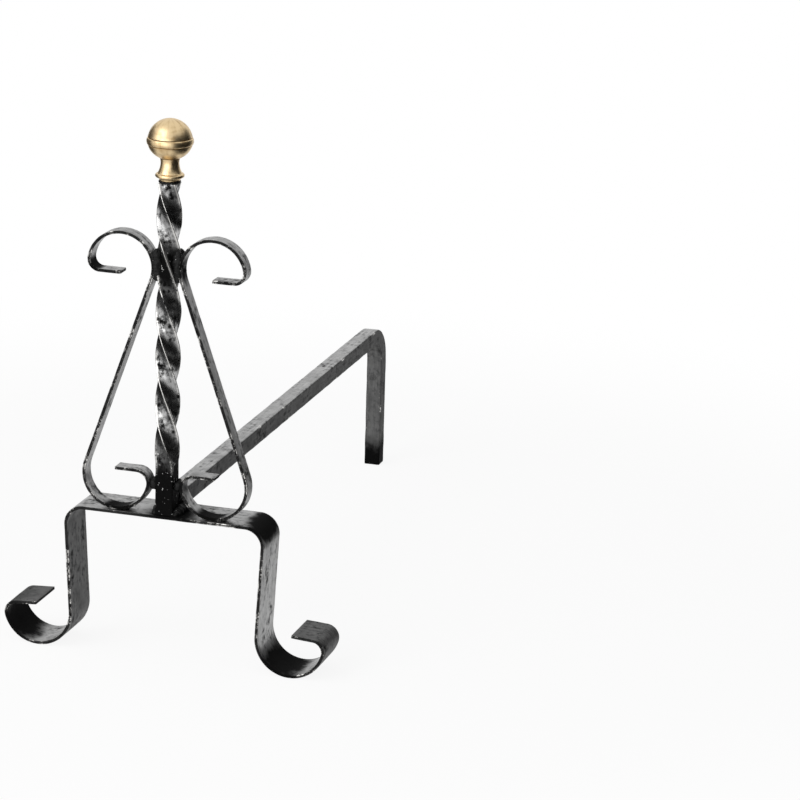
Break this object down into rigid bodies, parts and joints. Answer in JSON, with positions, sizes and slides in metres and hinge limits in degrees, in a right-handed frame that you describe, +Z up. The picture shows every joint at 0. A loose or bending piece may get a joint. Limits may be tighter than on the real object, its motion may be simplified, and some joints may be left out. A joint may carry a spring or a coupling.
{
  "type": "andiron",
  "caption": "Andiron with a twisted square post, scrolls of flat bar, curled front feet, a log bar bent down at the rear and a brass ball finial that screws on.",
  "frame": {"origin": "on the floor, under the middle of the bounding box", "axes": "+Z up, the scroll front faces -Y, the log bar runs to +Y, +X is to the right of someone who looks at the front"},
  "size_m": [0.26, 0.5628, 0.4217],
  "materials": {
    "black_iron": "black, rubbed through to brushed grey iron on the faces",
    "weld": "rough black weld metal",
    "steel": "bare turned steel",
    "brass": "polished"
  },
  "bodies": {
    "frame": {"foot_strap": "black_iron", "twisted_post": "black_iron", "log_bar": "black_iron", "left_scroll": "black_iron", "right_scroll": "black_iron", "left_neck_weld_front": "weld", "left_neck_weld_back": "weld", "right_neck_weld_front": "weld", "right_neck_weld_back": "weld", "left_hook_weld": "weld", "right_hook_weld": "weld", "left_scroll_foot_weld": "weld", "right_scroll_foot_weld": "weld", "left_base_weld": "weld", "right_base_weld": "weld", "bar_end_weld": "weld", "finial_washer": "black_iron", "finial_stud": "steel"},
    "threaded_insert": {"finial_insert": "steel"},
    "finial": {"finial_base": "brass", "finial_lower_shell": "brass", "finial_band": "brass", "finial_upper_shell": "brass"}
  },
  "joints": [
    {"name": "finial_rise", "type": "slide", "parent": "frame", "child": "threaded_insert", "axis": [0, 0, 1], "range_m": [0, 0.01]},
    {"name": "finial_turn", "type": "hinge", "parent": "threaded_insert", "child": "finial", "pos_m": [0, -0.2639, 0.3754], "axis": [0, 0, 1], "range_deg": [0, 2885]}
  ],
  "couplings": [
    {"joint": "finial_turn", "follows": "finial_rise", "rad_per_m": 5026.5}
  ]
}
